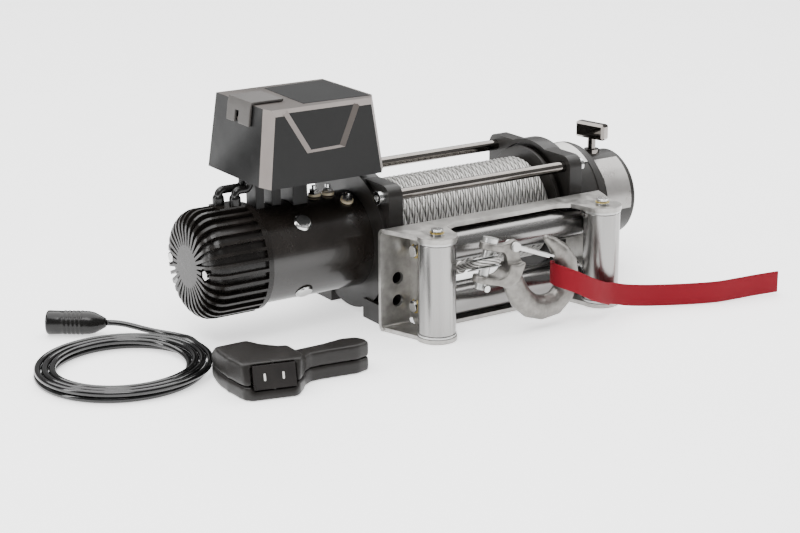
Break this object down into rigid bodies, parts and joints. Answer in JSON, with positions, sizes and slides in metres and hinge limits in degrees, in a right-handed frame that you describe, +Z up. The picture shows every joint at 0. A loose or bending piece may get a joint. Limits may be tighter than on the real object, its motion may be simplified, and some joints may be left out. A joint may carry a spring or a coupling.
{
  "type": "electric recovery winch",
  "caption": "Drum winch with motor, planetary gear end, control box, wire rope, roller fairlead, clevis hook with pull strap, and a corded handset",
  "frame": {"origin": "middle of the four foot bolts, on the plane that the feet stand on", "axes": "X along the drum with the gear end at +X, rope leaves towards -Y, Z up"},
  "size_m": [0.8278, 0.3453, 0.2547],
  "materials": {
    "black_cast": "satin black paint on cast aluminium",
    "motor_paint": "satin black paint on steel tube",
    "ribbed_cast": "satin black paint on cast ribs",
    "dark_chrome": "polished dark chrome",
    "zinc_bolt": "bright zinc plate",
    "drum_paint": "black paint",
    "bronze": "sintered bronze",
    "wire_rope": "galvanised stranded wire",
    "ferrule_metal": "pressed sleeve",
    "galvanised": "galvanised plate",
    "roller_steel": "turned bright steel",
    "hook_steel": "satin cast grey",
    "latch_zinc": "white zinc plate",
    "strap_red": "woven crimson webbing",
    "yellow_zinc": "yellow zinc plate",
    "tool_steel": "machined steel",
    "copper": "varnished copper winding",
    "brush_board": "fibre board",
    "brake_lining": "machined cone",
    "box_black": "matte black moulding",
    "rubber_black": "black rubber",
    "rubber_grey": "dark grey rubber",
    "cream_insulator": "cream insulating washer",
    "socket_black": "black moulded socket",
    "handset_black": "soft black moulding",
    "rocker_black": "black rocker",
    "lead_black": "glossy black cord jacket"
  },
  "bodies": {
    "frame_body": {"motor_support": "black_cast", "gear_support": "black_cast", "tie_rods": "dark_chrome", "tie_rod_bolts": "zinc_bolt", "drum_bushings": "bronze", "rope_tail": "wire_rope", "rope_ferrule": "ferrule_metal", "thimble": "latch_zinc", "fairlead_frame": "galvanised", "upright_pins": "zinc_bolt", "level_pins": "zinc_bolt", "roller_clips": "yellow_zinc", "roller_washers": "latch_zinc", "motor_case": "motor_paint", "motor_end_cap": "ribbed_cast", "through_bolts": "zinc_bolt", "pole_screws": "zinc_bolt", "pole_shoes": "tool_steel", "field_coils": "copper", "brush_gear": "brush_board", "gear_housing": "black_cast", "end_housing": "black_cast", "housing_screws": "motor_paint", "ring_gear": "tool_steel", "box_cover": "box_black", "box_base": "box_black", "contactor": "box_black", "terminal_studs": "zinc_bolt", "terminal_washers": "cream_insulator", "motor_leads": "rubber_black", "remote_socket": "socket_black", "handset_top": "handset_black", "handset_base": "handset_black", "lead_coil": "lead_black", "lead_run": "lead_black", "remote_plug": "rubber_black"},
    "drum_body": {"drum": "drum_paint", "rope_core": "wire_rope", "rope_winding": "wire_rope", "planet_carrier": "tool_steel", "brake_cone": "brake_lining"},
    "motor_rotor": {"armature": "copper", "drive_shaft": "tool_steel"},
    "planet_a": {"planet_gear_a": "tool_steel"},
    "planet_b": {"planet_gear_b": "tool_steel"},
    "planet_c": {"planet_gear_c": "tool_steel"},
    "left_upright": {"left_roller": "roller_steel"},
    "right_upright": {"right_roller": "roller_steel"},
    "upper_level": {"upper_roller": "roller_steel"},
    "lower_level": {"lower_roller": "roller_steel"},
    "clutch_handle": {"clutch_lever": "dark_chrome"},
    "clutch_pin": {"clutch_plunger": "tool_steel"},
    "hook_body": {"hook": "hook_steel", "hook_strap": "strap_red", "latch_rivet": "latch_zinc", "clevis_pin": "latch_zinc", "cotter_pin": "latch_zinc"},
    "latch_body": {"hook_latch": "latch_zinc"},
    "flap_body": {"socket_cover": "rubber_grey"},
    "rocker_body": {"handset_rocker": "rocker_black"}
  },
  "joints": [
    {"name": "drum_spin", "type": "hinge", "parent": "frame_body", "child": "drum_body", "pos_m": [0, 0, 0.083], "axis": [1, 0, 0], "continuous": true},
    {"name": "motor_spin", "type": "hinge", "parent": "frame_body", "child": "motor_rotor", "pos_m": [0, 0, 0.083], "axis": [1, 0, 0], "continuous": true},
    {"name": "planet_a_spin", "type": "hinge", "parent": "drum_body", "child": "planet_a", "pos_m": [0.2, 0.02625, 0.083], "axis": [1, 0, 0], "continuous": true},
    {"name": "planet_b_spin", "type": "hinge", "parent": "drum_body", "child": "planet_b", "pos_m": [0.2, -0.01312, 0.10573], "axis": [1, 0, 0], "continuous": true},
    {"name": "planet_c_spin", "type": "hinge", "parent": "drum_body", "child": "planet_c", "pos_m": [0.2, -0.01312, 0.06027], "axis": [1, 0, 0], "continuous": true},
    {"name": "left_roller_spin", "type": "hinge", "parent": "frame_body", "child": "left_upright", "pos_m": [-0.1113, -0.1411, 0.0578], "axis": [0, 0, 1], "continuous": true},
    {"name": "right_roller_spin", "type": "hinge", "parent": "frame_body", "child": "right_upright", "pos_m": [0.1113, -0.1411, 0.0578], "axis": [0, 0, 1], "continuous": true},
    {"name": "upper_roller_spin", "type": "hinge", "parent": "frame_body", "child": "upper_level", "pos_m": [0, -0.103, 0.0888], "axis": [1, 0, 0], "continuous": true},
    {"name": "lower_roller_spin", "type": "hinge", "parent": "frame_body", "child": "lower_level", "pos_m": [0, -0.103, 0.0268], "axis": [1, 0, 0], "continuous": true},
    {"name": "clutch_turn", "type": "hinge", "parent": "frame_body", "child": "clutch_handle", "pos_m": [0.208, 0, 0.15], "axis": [0, 0, 1], "range_deg": [0, 90]},
    {"name": "clutch_lift", "type": "slide", "parent": "frame_body", "child": "clutch_pin", "axis": [0, 0, 1], "range_m": [0, 0.004]},
    {"name": "hook_swing", "type": "hinge", "parent": "frame_body", "child": "hook_body", "pos_m": [-0.07, -0.172, 0.086], "axis": [0.2419, 0, 0.9703], "range_deg": [-30, 4]},
    {"name": "latch_open", "type": "hinge", "parent": "hook_body", "child": "latch_body", "pos_m": [-0.03484, -0.172, 0.09888], "axis": [0, 1, 0], "range_deg": [0, 30], "stiffness_Nm_per_rad": 0.02, "springref_deg": -11.46},
    {"name": "flap_open", "type": "hinge", "parent": "frame_body", "child": "flap_body", "pos_m": [-0.226, 0.005, 0.253], "axis": [0, 1, 0], "range_deg": [0, 110]},
    {"name": "rocker_press", "type": "hinge", "parent": "frame_body", "child": "rocker_body", "pos_m": [-0.34108, -0.19529, 0.02206], "axis": [0.0626, 0.2511, 0.9659], "range_deg": [-8, 8], "stiffness_Nm_per_rad": 0.05}
  ],
  "couplings": [
    {"joint": "motor_spin", "follows": "drum_spin", "ratio": 5},
    {"joint": "planet_a_spin", "follows": "drum_spin", "ratio": -2.6667},
    {"joint": "planet_b_spin", "follows": "drum_spin", "ratio": -2.6667},
    {"joint": "planet_c_spin", "follows": "drum_spin", "ratio": -2.6667},
    {"joint": "clutch_lift", "follows": "clutch_turn", "m_per_rad": 0.0025464}
  ]
}
